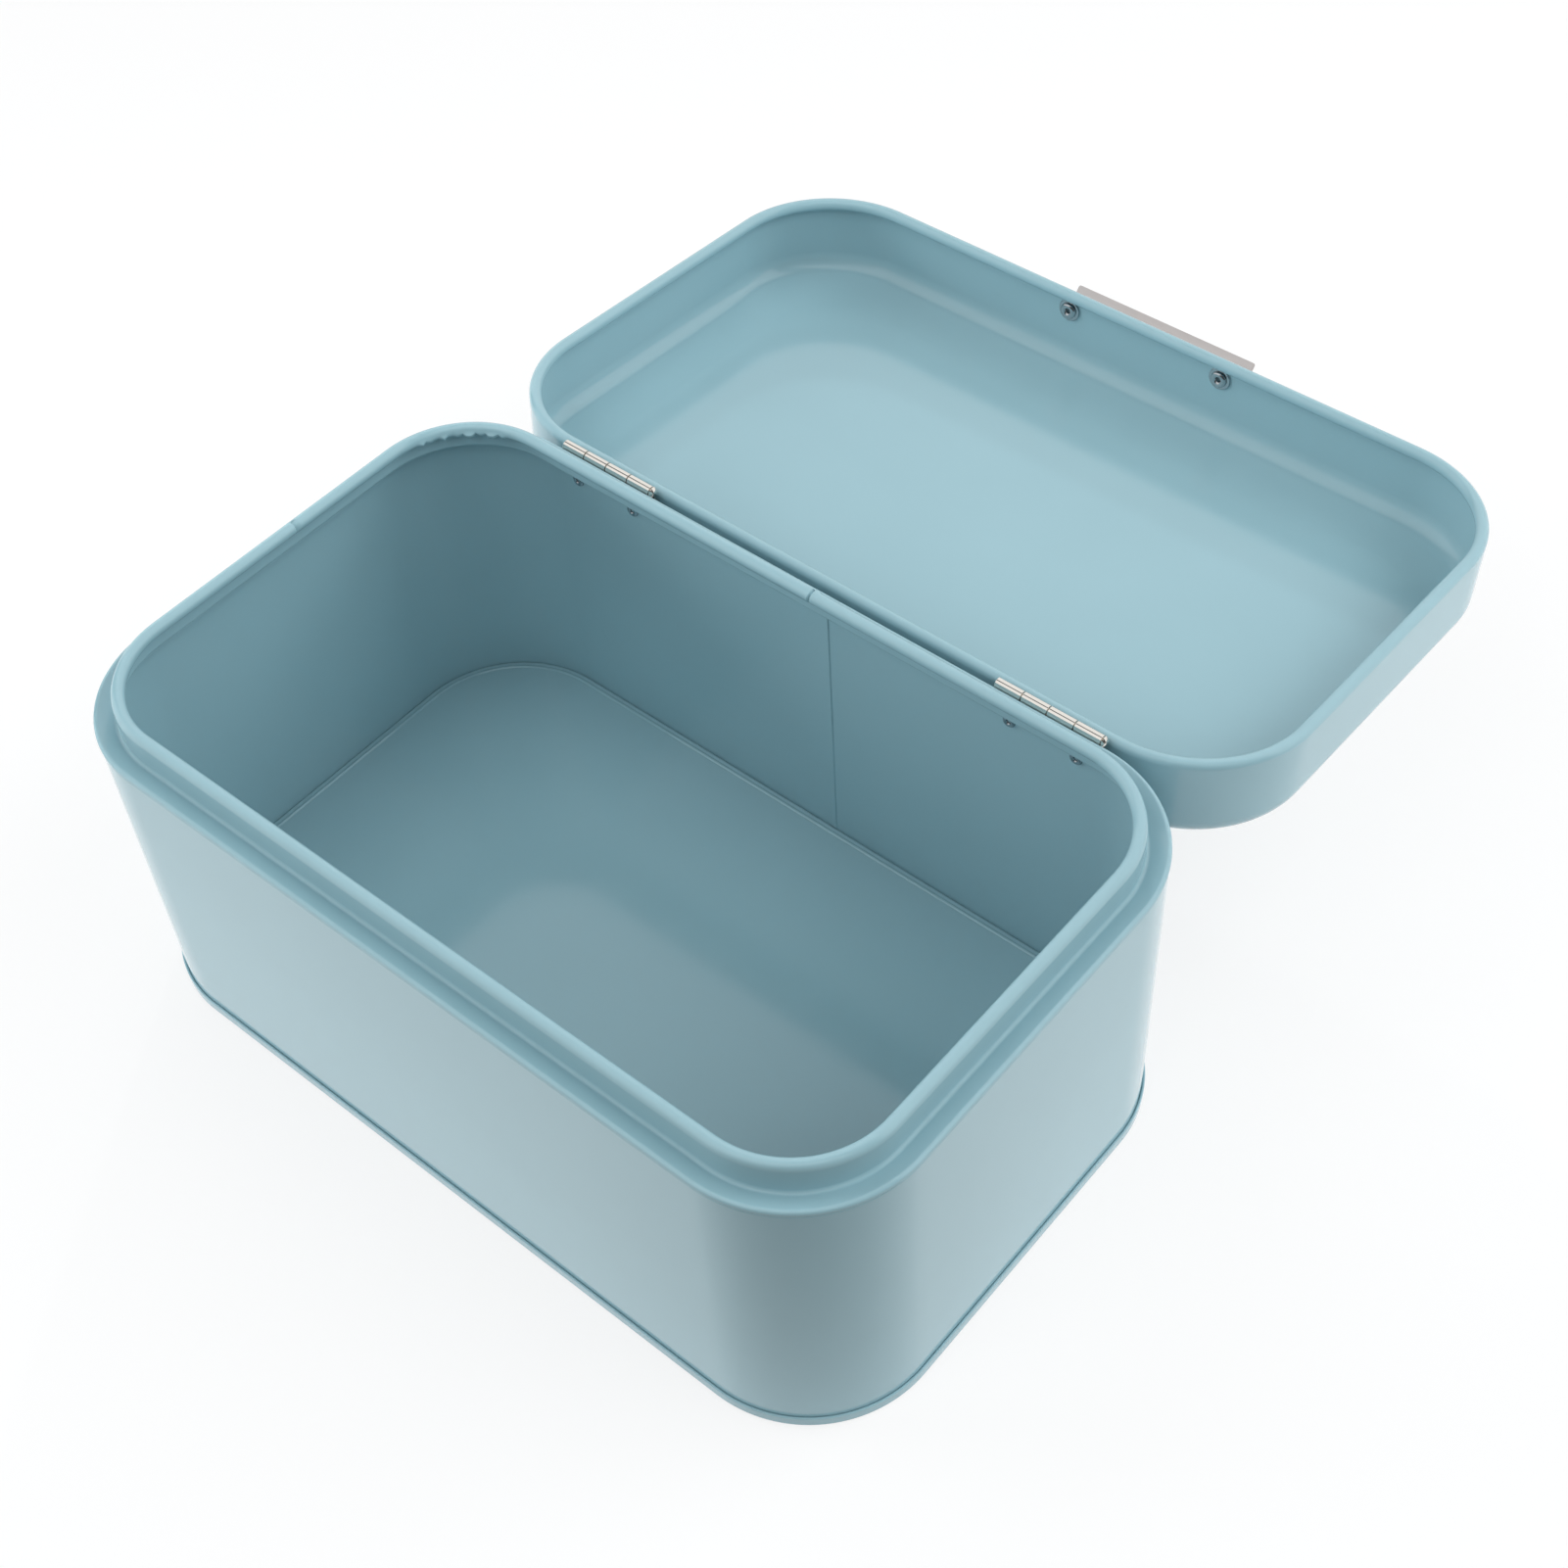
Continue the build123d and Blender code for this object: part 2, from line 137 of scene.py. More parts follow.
def choose(piece, test):
    """Selects only the faces whose middle and normal pass the test."""
    bpy.ops.mesh.select_all(action="DESELECT")
    mesh = bmesh.from_edit_mesh(piece.data)
    for face in mesh.faces:
        if test(face.calc_center_median(), face.normal):
            face.select_set(True)
    bmesh.update_edit_mesh(piece.data)


def choose_points(piece, test):
    """Selects only the points whose place passes the test."""
    bpy.ops.mesh.select_all(action="DESELECT")
    mesh = bmesh.from_edit_mesh(piece.data)
    for point in mesh.verts:
        point.select = bool(test(point.co))
    bmesh.update_edit_mesh(piece.data)


def finish_sheet(thickness):
    """Gives the drawn middle its thickness and shades its bends smooth."""
    bpy.ops.object.mode_set(mode="OBJECT")
    bpy.ops.object.modifier_add(type="SOLIDIFY")
    solidify = bpy.context.object.modifiers[-1]
    solidify.thickness = thickness
    solidify.offset = 0
    solidify.use_even_offset = True
    bpy.ops.object.modifier_apply(modifier=solidify.name)
    bpy.ops.object.shade_smooth_by_angle(angle=SMOOTH_BELOW)


crown = BEAD_RADIUS - SHEET / 2
root = BEAD_ROOT + SHEET / 2
neck_root = NECK_ROOT + SHEET / 2
roll = RIM_ROLL - SHEET / 2
swell = acos((root * cos(GROOVE_DIP) + crown - GROOVE * (1 - cos(GROOVE_DIP)) - SHOULDER_PROUD)
             / (root + crown))
wall_end = BEAD_HEIGHT - (GROOVE + root) * sin(GROOVE_DIP) - (root + crown) * sin(swell)
ledge_start = BEAD_RADIUS - SHOULDER_PROUD + crown * sin(LEDGE_SLOPE)
ledge_end = NECK_INSET + SHEET / 2 - neck_root * (1 + sin(LEDGE_SLOPE))
ledge = (ledge_end - ledge_start) / cos(LEDGE_SLOPE)
neck_foot = BEAD_HEIGHT + (crown + neck_root) * cos(LEDGE_SLOPE) - ledge * sin(LEDGE_SLOPE)

body_start = Vector((BODY_CORNER - LENGTH / 2, (SHEET - DEPTH) / 2, FOOT_HEIGHT))
body = start_piece("body_sheet", body_start)
draw_section(body_start, pi / 2, [
    (wall_end - FOOT_HEIGHT, 0), (GROOVE, -GROOVE_DIP), (root, GROOVE_DIP + swell),
    (crown, -swell - pi / 2 - LEDGE_SLOPE), (ledge, 0), (neck_root, pi / 2 + LEDGE_SLOPE),
    (RIM_HEIGHT - RIM_ROLL - neck_foot, 0), (roll, -RIM_ROLL_TURN),
])
carry_round(BODY_CORNER)
finish_sheet(SHEET)

# The seam is a narrow strip folded flat against the inside of the back wall, from the floor up to the shoulder
inner_back = DEPTH / 2 - SHEET
seam_low = FLOOR_HEIGHT + SEAM_PROUD
seam_high = SHOULDER_HEIGHT - SEAM_PROUD


def on_inner_back(place, normal):
    return normal.y < -0.99 and abs(place.y - inner_back) < SHEET / 4 and place.z < SHOULDER_HEIGHT


bpy.ops.object.mode_set(mode="EDIT")
for x in (SEAM_X - SEAM_WIDTH / 2, SEAM_X + SEAM_WIDTH / 2):
    choose(body, on_inner_back)
    bpy.ops.mesh.bisect(plane_co=(x, 0, 0), plane_no=(1, 0, 0))
for z in (seam_low, seam_high):
    choose(body, on_inner_back)
    bpy.ops.mesh.bisect(plane_co=(0, 0, z), plane_no=(0, 0, 1))
choose(body, lambda place, normal: on_inner_back(place, normal)
       and abs(place.x - SEAM_X) < SEAM_WIDTH / 2 and seam_low < place.z < seam_high)
extrude((0, -SEAM_PROUD, 0))
bpy.ops.transform.resize(value=(SEAM_TAPER, 1, 1), center_override=(SEAM_X, inner_back, 0))

# The curl is doubled where the seam runs through it: a fine cut shows across its inner half, and its outer half swells
# a little and steps down again just past the seam
CURL_LOW = RIM_HEIGHT - 2 * RIM_ROLL - 0.1 * MM
CURL_TIP = CURL_LOW + 0.7 * MM      # the curl's own edge lies below this
CUT = (7.7 * MM, 8.4 * MM)
MARK_EDGE = 0.5 * MM    # how fast a small mark ends on each side
CUT_REACH = 1.1 * MM    # it ends this far past the curl's middle
CUT_MOVE = (0, 0.6 * MM, -0.6 * MM)
STEP_DOWN = (10.5 * MM, 14.2 * MM)
# The curl is swollen on both sides of the cut: from, to, start past the curl's middle, height over its lowest part.
SWELLINGS = ((CUT[0] - MARK_EDGE, CUT[0], -0.2 * MM, 0.53 * MM), (CUT[1], CUT[1] + MARK_EDGE, 0.15 * MM, 0))
SWELL_MOVE = (0, 0.6 * MM, 0.1 * MM)
curl_middle = NECK_INSET + RIM_ROLL


def in_back_curl(place):
    return place.z > CURL_LOW and abs(place.x) < LENGTH / 2 - BODY_CORNER and place.y > 0


for x in (CUT[0] - MARK_EDGE, *CUT, CUT[1] + MARK_EDGE, *STEP_DOWN):
    choose(body, lambda place, normal: in_back_curl(place))
    bpy.ops.mesh.bisect(plane_co=(x, 0, 0), plane_no=(1, 0, 0))
for first, last, start, above in SWELLINGS:
    choose_points(body, lambda place: in_back_curl(place) and first - SAME_POINT < place.x < last + SAME_POINT
                  and place.y > DEPTH / 2 - curl_middle + start and place.z > CURL_LOW + above)
    bpy.ops.transform.translate(value=SWELL_MOVE)
choose_points(body, lambda place: in_back_curl(place) and abs(place.x - CUT[0]) < SAME_POINT
              and place.y < DEPTH / 2 - curl_middle + CUT_REACH)
bpy.ops.transform.translate(value=CUT_MOVE)

# Where the rolling tool started on the left it left a small nick
NICK = (6.8 * MM, 8.2 * MM)
NICK_REACH = 0.4 * MM   # it starts this far outside the curl's middle
NICK_MOVE = (-0.6 * MM, 0, -0.6 * MM)
LEFT_REACH = 40 * MM    # leaves out the curl's corners


def in_left_curl(place):
    return place.z > CURL_LOW and abs(place.y) < LEFT_REACH and place.x < 0


for y in (NICK[0] - MARK_EDGE, *NICK, NICK[1] + MARK_EDGE):
    choose(body, lambda place, normal: in_left_curl(place))
    bpy.ops.mesh.bisect(plane_co=(0, y, 0), plane_no=(0, 1, 0))
choose_points(body, lambda place: in_left_curl(place) and abs(place.y - NICK[0]) < SAME_POINT
              and (place.x > curl_middle - LENGTH / 2 - NICK_REACH or place.z < CURL_TIP))
bpy.ops.transform.translate(value=NICK_MOVE)

# The curl's edge is gathered in small uneven folds round the back left corner, which also sag half as far as they stand
# in. Each is (from, to, how far it stands in), in degrees round the corner and millimetres.
FOLDS = ((110, 113.5, 0.5), (116, 120, 0.9), (124, 127.5, 0.5), (130, 136, 1.0), (139, 142, 0.5), (145, 150, 0.9),
         (154, 157, 0.5), (160, 163.5, 0.7))
HALF_STEP = 1.4     # degrees, half a step between the corner's points
FOLD_TOP = RIM_HEIGHT - RIM_ROLL + 0.2 * MM
FOLD_REACH = BODY_CORNER - curl_middle - 0.1 * MM
bend_centre = Vector((BODY_CORNER - LENGTH / 2, DEPTH / 2 - BODY_CORNER, 0))


def in_fold(place, first, last):
    out = place - bend_centre
    return (CURL_LOW < place.z < FOLD_TOP and first < degrees(atan2(out.y, out.x)) + HALF_STEP < last
            and hypot(out.x, out.y) < FOLD_REACH)


for first, last, depth in FOLDS:
    choose_points(body, lambda place: in_fold(place, first, last))
    outwards = radians((first + last) / 2)
    bpy.ops.transform.translate(value=Vector((-cos(outwards), -sin(outwards), -0.5)) * depth * MM)
bpy.ops.object.mode_set(mode="OBJECT")
bpy.ops.object.shade_smooth_by_angle(angle=SMOOTH_BELOW)

# Enamel paint, stoved on: a smooth glossy skin with a faint orange peel, slightly thicker and paler in places.
# The sheet under it isn't quite flat, which bends large reflections a little.
PEEL = 3.5 * MM
PEEL_DEPTH = 0.002 * MM
SHEET_WAVE = 55 * MM
SHEET_WAVE_DEPTH = 0.06 * MM
ENAMEL_PATCH = 40 * MM
ENAMEL_THIN = "#8eb2bc"
ENAMEL_THICK = "#92b6c0"
ENAMEL_ROUGH = (0.10, 0.14)
ENAMEL_IOR = 1.6
SPREAD = (0.3, 0.7)     # soft noise mostly lies between these


def paint(code):
    """An sRGB hex colour as the linear values that shaders take."""
    levels = [int(code[k:k + 2], 16) / 255 for k in (1, 3, 5)]
    return [c / 12.92 if c <= 0.04045 else ((c + 0.055) / 1.055) ** 2.4 for c in levels] + [1]


def add(tree, kind, sockets=None, **settings):
    """Adds a node with its settings; a socket takes a value, or another node's output."""
    node = tree.nodes.new(kind)
    for name, value in settings.items():
        setattr(node, name, value)
    for name, value in (sockets or {}).items():
        if isinstance(value, bpy.types.NodeSocket):
            tree.links.new(value, node.inputs[name])
        else:
            node.inputs[name].default_value = value
    return node


def new_material(name):
    material = bpy.data.materials.new(name)
    material.use_nodes = True
    material.node_tree.nodes.clear()
    return material


def pattern(tree, size, stretch=(1, 1, 1)):
    """Soft noise on the piece's own coordinates, with patches of about this size."""
    place = add(tree, "ShaderNodeTexCoord").outputs["Object"]
    stretched = add(tree, "ShaderNodeMapping", {"Vector": place, "Scale": stretch}).outputs["Vector"]
    return add(tree, "ShaderNodeTexNoise", {"Vector": stretched, "Scale": 1 / size}).outputs["Fac"]


def dress(piece, body_name, node, material):
    """The piece moves with its body, stands for its CAD node and takes its finish."""
    piece.data.materials.clear()
    piece.data.materials.append(material)
    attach(piece, body_name)
    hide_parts(node)


enamel = new_material("duck_egg_stoved_enamel")
tree = enamel.node_tree
tint = add(tree, "ShaderNodeMix", {
    "Factor": pattern(tree, ENAMEL_PATCH), "A": paint(ENAMEL_THIN), "B": paint(ENAMEL_THICK)}, data_type="RGBA")
rough = add(tree, "ShaderNodeMapRange", {
    "Value": pattern(tree, ENAMEL_PATCH / 2), "From Min": SPREAD[0], "From Max": SPREAD[1],
    "To Min": ENAMEL_ROUGH[0], "To Max": ENAMEL_ROUGH[1]})
wave = add(tree, "ShaderNodeBump", {"Height": pattern(tree, SHEET_WAVE), "Distance": SHEET_WAVE_DEPTH})
peel = add(tree, "ShaderNodeBump", {
    "Height": pattern(tree, PEEL), "Distance": PEEL_DEPTH, "Normal": wave.outputs["Normal"]})
skin = add(tree, "ShaderNodeBsdfPrincipled", {
    "Base Color": tint.outputs["Result"], "Roughness": rough.outputs["Result"], "IOR": ENAMEL_IOR,
    "Normal": peel.outputs["Normal"]})
add(tree, "ShaderNodeOutputMaterial", {"Surface": skin.outputs["BSDF"]})
dress(body, "bin", "body_wrap", enamel)

# Bottom
# A pressed steel pan. Its floor is held up off the table, and its edge turns down beside the wall, round under the
# body's foot and back up and down on itself outside: the folded hem that locks the two sheets and that the box stands
# on.
FLOOR_EDGE = 1.0 * MM
HEM_HEIGHT = 4.5 * MM
HEM_LAND = 0.4 * MM
FOLD_END = 0.9 * MM
FLOOR_BEAD = 0.7 * MM   # a low bead stiffens the floor's edge
FLOOR_BEAD_TURN = radians(35)
PLY_GAP = 0.05 * MM


def fill_middle(piece, height):
    """Closes the open middle of a pan, whose edge lies at this height."""
    bpy.ops.mesh.select_all(action="DESELECT")
    bpy.ops.mesh.select_non_manifold()
    mesh = bmesh.from_edit_mesh(piece.data)
    for point in mesh.verts:
        if abs(point.co.z - height) > SAME_POINT:
            point.select = False
    mesh.select_flush(False)
    bmesh.update_edit_mesh(piece.data)
    bpy.ops.mesh.edge_face_add()
    bpy.ops.mesh.inset(thickness=HOLD)
    bpy.ops.mesh.select_all(action="SELECT")
    bpy.ops.mesh.normals_make_consistent(inside=False)


land_bend = SHEET + PLY_GAP - HEM_LAND / 2
edge_bend = FLOOR_EDGE - SHEET / 2
fold_bend = (SHEET + PLY_GAP) / 2
floor_inset = SHEET * 1.5 + PLY_GAP + 2 * edge_bend
floor_middle = FLOOR_HEIGHT - SHEET / 2
bead_width = 4 * FLOOR_BEAD * sin(FLOOR_BEAD_TURN)
bottom_start = Vector((BODY_CORNER - LENGTH / 2, floor_inset + bead_width - DEPTH / 2, floor_middle))
bottom = start_piece("bottom_pan", bottom_start)
draw_section(bottom_start, pi, [
    (FLOOR_BEAD, -FLOOR_BEAD_TURN), (FLOOR_BEAD, 2 * FLOOR_BEAD_TURN), (FLOOR_BEAD, -FLOOR_BEAD_TURN),
    (edge_bend, 0), (edge_bend, pi / 2), (floor_middle - edge_bend - land_bend - SHEET / 2, 0), (land_bend, -pi / 2),
    (HEM_LAND, 0), (land_bend, -pi / 2), (HEM_HEIGHT - SHEET - fold_bend - land_bend, 0), (fold_bend, pi),
    (HEM_HEIGHT - SHEET / 2 - fold_bend - FOLD_END, 0),
])
carry_round(BODY_CORNER)
fill_middle(bottom, floor_middle)
finish_sheet(SHEET)
dress(bottom, "bin", "bottom_panel", enamel)

# Hinge leaves
# Nickel-plated steel strip: flat on the wall, cranked out past the shoulder bead, and rolled round the pin in knuckles
# that take turns with those of the other leaf. From here on, what the lid carries is made shut and then turned open.
LEAF = 0.8 * MM
LEAF_REACH = 15.0 * MM
LEAF_CORNER = 2.0 * MM
LEAF_WIDTH = 38.0 * MM
KNUCKLES = 4
KNUCKLE_GAP = 0.4 * MM
KNUCKLE_TURN = radians(290)
CRANK = 1.0 * MM
PIN = 1.05 * MM
PIN_CLEARANCE = 0.05 * MM
EDGE = 0.12 * MM        # the worn-off corner of a cut edge
EDGE_STEPS = 2
SHARP_ABOVE = radians(50)
CORNER_POINTS = 6

hinge = frame["joints"][0]
axis = Vector(hinge["pos_m"])
shut = radians(hinge["range_deg"][1])
barrel = PIN + PIN_CLEARANCE + LEAF


def fold_back(piece):
    """Turns a piece of the shut lid to where the lid lies open."""
    piece.matrix_world = Matrix.Translation(axis) @ Matrix.Rotation(-shut, 4, "X") @ Matrix.Translation(-axis)
    bpy.ops.object.transform_apply(location=True, rotation=True, scale=False)


def soften_edges(width):
    bpy.ops.object.modifier_add(type="BEVEL")
    bevel = bpy.context.object.modifiers[-1]
    bevel.width = width
    bevel.segments = EDGE_STEPS
    bevel.angle_limit = SHARP_ABOVE
    bpy.ops.object.modifier_apply(modifier=bevel.name)
    bpy.ops.object.shade_smooth_by_angle(angle=SMOOTH_BELOW)


def round_corners(piece, radius, test):
    """Rounds the corners of a strip that is still thin, where its corner points pass the test."""
    bpy.ops.mesh.select_all(action="DESELECT")
    mesh = bmesh.from_edit_mesh(piece.data)
    for point in mesh.verts:
        point.select = len(point.link_edges) == 2 and test(point.co)
    bmesh.update_edit_mesh(piece.data)
    bpy.ops.mesh.bevel(affect="VERTICES", offset=radius, segments=CORNER_POINTS)


def make_leaf(name, low_x, way, first):
    """way is -1 for the body's leaf, which hangs down from the axis, and 1 for the lid's."""
    step_out = axis.y - barrel - DEPTH / 2 - PLY_GAP
    crank = acos(1 - step_out / (2 * CRANK))
    flat = LEAF_REACH - barrel - 2 * CRANK * sin(crank)
    start = Vector((low_x, DEPTH / 2 + PLY_GAP + LEAF / 2, axis.z + way * LEAF_REACH))
    leaf = start_piece(name, start)
    draw_section(start, -way * pi / 2, [
        (flat, 0), (CRANK, way * crank), (CRANK, -way * crank), (barrel, 0),
        (PIN + PIN_CLEARANCE + LEAF / 2, way * KNUCKLE_TURN),
    ])
    pitch = LEAF_WIDTH / KNUCKLES
    half_gap = KNUCKLE_GAP / 2
    cuts = [0] + [k * pitch + s * half_gap for k in range(1, KNUCKLES) for s in (-1, 1)] + [LEAF_WIDTH]
    for here, there in zip(cuts, cuts[1:]):
        extrude((there - here, 0, 0))
    notch = axis.z + way * (barrel + KNUCKLE_GAP)
    bpy.ops.mesh.select_all(action="SELECT")
    bpy.ops.mesh.bisect(plane_co=(0, 0, notch), plane_no=(0, 0, 1))

    def taken_out(place, normal):
        k = int((place.x - low_x) / pitch)
        inside = abs((place.x - low_x) - (k + 0.5) * pitch) < pitch / 2 - half_gap
        return way * (place.z - notch) < 0 and not (inside and k % 2 == first)

    choose(leaf, taken_out)
    bpy.ops.mesh.delete(type="FACE")
    close_mesh()
    round_corners(leaf, LEAF_CORNER, lambda place: abs(place.z - start.z) < EDGE)
    finish_sheet(LEAF)
    soften_edges(EDGE)
    return leaf


# Bright nickel over rolled steel: a warm mirror, dulled in fine lines along the roll
NICKEL = "#e9e5de"
NICKEL_ROUGH = (0.05, 0.12)
NICKEL_LINE = 0.25 * MM
NICKEL_LINE_DEPTH = 0.002 * MM
ALONG_ROLL = (0.05, 1, 1)
nickel = new_material("bright_nickel_plate")
tree = nickel.node_tree
lines = pattern(tree, NICKEL_LINE, ALONG_ROLL)
rough = add(tree, "ShaderNodeMapRange", {
    "Value": lines, "From Min": SPREAD[0], "From Max": SPREAD[1],
    "To Min": NICKEL_ROUGH[0], "To Max": NICKEL_ROUGH[1]})
grain = add(tree, "ShaderNodeBump", {"Height": lines, "Distance": NICKEL_LINE_DEPTH})
skin = add(tree, "ShaderNodeBsdfPrincipled", {
    "Base Color": paint(NICKEL), "Metallic": 1.0, "Roughness": rough.outputs["Result"],
    "Normal": grain.outputs["Normal"]})
add(tree, "ShaderNodeOutputMaterial", {"Surface": skin.outputs["BSDF"]})

for side in ("left", "right"):
    low_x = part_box(f"{side}_hinge_body_leaf")[0].x
    leaf = make_leaf(f"{side}_body_leaf_rolled", low_x, -1, 0)
    dress(leaf, "bin", f"{side}_hinge_body_leaf", nickel)
    leaf = make_leaf(f"{side}_lid_leaf_rolled", low_x, 1, 1)
    fold_back(leaf)
    dress(leaf, "lid", f"{side}_hinge_lid_leaf", nickel)

# Hinge pins
# Drawn steel wire, cut off at one end and upset into a low domed head at the other, nickel plated with the leaves.
# Each was pushed through its knuckles from the right, and its head is as wide as they are.
PIN_HEAD = 1.2 * MM
PIN_CHAMFER = 0.2 * MM
TURN_STEPS = 32


def turn_round(piece, axis_start, facing):
    """Spins the drawn profile about its own Z axis, then lays it along the way it faces."""
    bpy.ops.mesh.select_all(action="SELECT")
    bpy.ops.mesh.spin(steps=TURN_STEPS, angle=2 * pi, center=(0, 0, 0), axis=(0, 0, 1), use_auto_merge=True)
    close_mesh()
    bpy.ops.object.mode_set(mode="OBJECT")
    bpy.ops.object.shade_smooth_by_angle(angle=SMOOTH_BELOW)
    piece.matrix_world = Matrix.Translation(axis_start) @ Vector(facing).to_track_quat("Z", "Y").to_matrix().to_4x4()
    bpy.ops.object.transform_apply(location=True, rotation=True, scale=False)


for side in ("left", "right"):
    low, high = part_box(f"{side}_hinge_pin")
    shaft = high.x - low.x - PIN_HEAD
    dome = (barrel ** 2 + PIN_HEAD ** 2) / (2 * PIN_HEAD)
    start = Vector((0, 0, 0))
    pin = start_piece(f"{side}_pin_headed", start)
    draw_section(start, 0, [
        (PIN - PIN_CHAMFER, 0), (PIN_CHAMFER, pi / 2), (shaft - PIN_CHAMFER, 0), (0, -pi / 2),
        (barrel - PIN, 0), (0, pi - atan2(barrel, dome - PIN_HEAD)), (dome, atan2(barrel, dome - PIN_HEAD)),
    ])
    turn_round(pin, (low.x, axis.y, axis.z), (1, 0, 0))
    dress(pin, "bin", f"{side}_hinge_pin", nickel)

# Lid
# One deep-drawn pan of the same sheet as the body, enamelled with it, with its edge rolled inwards. It hangs on the two
# hinges, and shut it rests on the body's ledge just inside the shoulder bead.
LID_HEIGHT = 33.0 * MM
LID_END_INSET = 1.0 * MM
LID_FRONT_INSET = 2.0 * MM
LID_CORNER = 42.0 * MM
LID_TOP_EDGE = 7.0 * MM
LID_BORDER = 65 * MM    # the panel falls away gently before its edge turns down
LID_BORDER_TURN = radians(14)
LID_ROLL = 2.2 * MM
LID_ROLL_TURN = radians(285)
AXIS_DROP = 0.8 * MM    # the hinge axis lies this far below the lid's lower edge

lid_seat = axis.z + AXIS_DROP
lid_middle = lid_seat + LID_HEIGHT - SHEET / 2
lid_length = LENGTH - 2 * LID_END_INSET
lid_front = LID_FRONT_INSET - DEPTH / 2
top_edge = LID_TOP_EDGE - SHEET / 2
border_width = LID_BORDER * sin(LID_BORDER_TURN)
edge_width = top_edge * (1 - sin(LID_BORDER_TURN)) + SHEET / 2
edge_fall = LID_BORDER * (1 - cos(LID_BORDER_TURN)) + top_edge * cos(LID_BORDER_TURN)
lid_start = Vector((LID_CORNER - lid_length / 2, lid_front + edge_width + border_width, lid_middle))
lid = start_piece("lid_pan", lid_start)
draw_section(lid_start, pi, [
    (LID_BORDER, LID_BORDER_TURN), (top_edge, pi / 2 - LID_BORDER_TURN),
    (LID_HEIGHT - SHEET / 2 - edge_fall - LID_ROLL, 0),
    (LID_ROLL - SHEET / 2, LID_ROLL_TURN),
])
carry_round(LID_CORNER, lid_length, DEPTH - LID_FRONT_INSET, (0, LID_FRONT_INSET / 2, 0))
fill_middle(lid, lid_middle)
finish_sheet(SHEET)
fold_back(lid)
dress(lid, "lid", "lid_shell", enamel)

# Handle
# A strip of nickel-plated steel with rounded corners, bent out over the fingers as a hood. Its flat part is riveted to
# the lid's front near both ends.
HANDLE_LENGTH = 75.0 * MM
HANDLE_SHEET = 0.9 * MM
HANDLE_TOP = 15.1 * MM
HANDLE_FOOT = 4.6 * MM
HOOD_REACH = 14.1 * MM
HOOD_FALL = radians(55)
HOOD_BEND = 1.0 * MM
HANDLE_CORNER = 0.8 * MM

middle = HANDLE_SHEET / 2
bend_middle = HOOD_BEND + middle
hood = (HOOD_REACH - middle * sin(HOOD_FALL) - PLY_GAP - middle - bend_middle) / sin(HOOD_FALL)
handle_start = Vector((-HANDLE_LENGTH / 2, lid_front - PLY_GAP - middle, lid_seat + HANDLE_FOOT))
handle = start_piece("handle_strip", handle_start)
draw_section(handle_start, pi / 2, [
    (HANDLE_TOP - middle - bend_middle - HANDLE_FOOT, 0), (bend_middle, pi / 2), (hood, HOOD_FALL)])
extrude((HANDLE_LENGTH, 0, 0))
bpy.ops.mesh.select_all(action="SELECT")
bpy.ops.mesh.normals_make_consistent(inside=False)
round_corners(handle, HANDLE_CORNER, lambda place: True)
finish_sheet(HANDLE_SHEET)
soften_edges(EDGE)
fold_back(handle)

# Satin nickel: the plate is brushed along the strip before it is bent
SATIN = "#cdc7c5"
SATIN_ROUGH = (0.3, 0.42)
BRUSH_LINE = 0.18 * MM
BRUSH_DEPTH = 0.003 * MM
ALONG_STRIP = (0.03, 1, 1)
satin = new_material("satin_nickel_plate")
tree = satin.node_tree
lines = pattern(tree, BRUSH_LINE, ALONG_STRIP)
rough = add(tree, "ShaderNodeMapRange", {
    "Value": lines, "From Min": SPREAD[0], "From Max": SPREAD[1],
    "To Min": SATIN_ROUGH[0], "To Max": SATIN_ROUGH[1]})
grain = add(tree, "ShaderNodeBump", {"Height": lines, "Distance": BRUSH_DEPTH})
skin = add(tree, "ShaderNodeBsdfPrincipled", {
    "Base Color": paint(SATIN), "Metallic": 1.0, "Roughness": rough.outputs["Result"],
    "Normal": grain.outputs["Normal"]})
add(tree, "ShaderNodeOutputMaterial", {"Surface": skin.outputs["BSDF"]})
dress(handle, "lid", "handle_plate", satin)

# Rivets
# Tubular steel rivets, zinc plated: a low domed head outside, and inside a tube whose end is rolled back on itself. Two
# hold each hinge leaf to its wall.
HINGE_RIVET = {"head": 3.0 * MM, "rise": 0.98 * MM, "shank": 1.2 * MM, "clinch": 2.3 * MM, "bore": 0.6 * MM}
HANDLE_RIVET = {"head": 3.0 * MM, "rise": 1.3 * MM, "shank": 1.6 * MM, "clinch": 3.15 * MM, "bore": 0.8 * MM}
BORE_DEPTH = 1.6 * MM

# Bright zinc: a cold grey metal, nearly a mirror, with cloudy patches where its crystals lie
ZINC = "#b6babd"
ZINC_ROUGH = (0.06, 0.14)
ZINC_CLOUD = 0.6 * MM
zinc = new_material("zinc_plated_rivet_steel")
tree = zinc.node_tree
rough = add(tree, "ShaderNodeMapRange", {
    "Value": pattern(tree, ZINC_CLOUD), "From Min": SPREAD[0], "From Max": SPREAD[1],
    "To Min": ZINC_ROUGH[0], "To Max": ZINC_ROUGH[1]})
skin = add(tree, "ShaderNodeBsdfPrincipled", {
    "Base Color": paint(ZINC), "Metallic": 1.0, "Roughness": rough.outputs["Result"]})
add(tree, "ShaderNodeOutputMaterial", {"Surface": skin.outputs["BSDF"]})


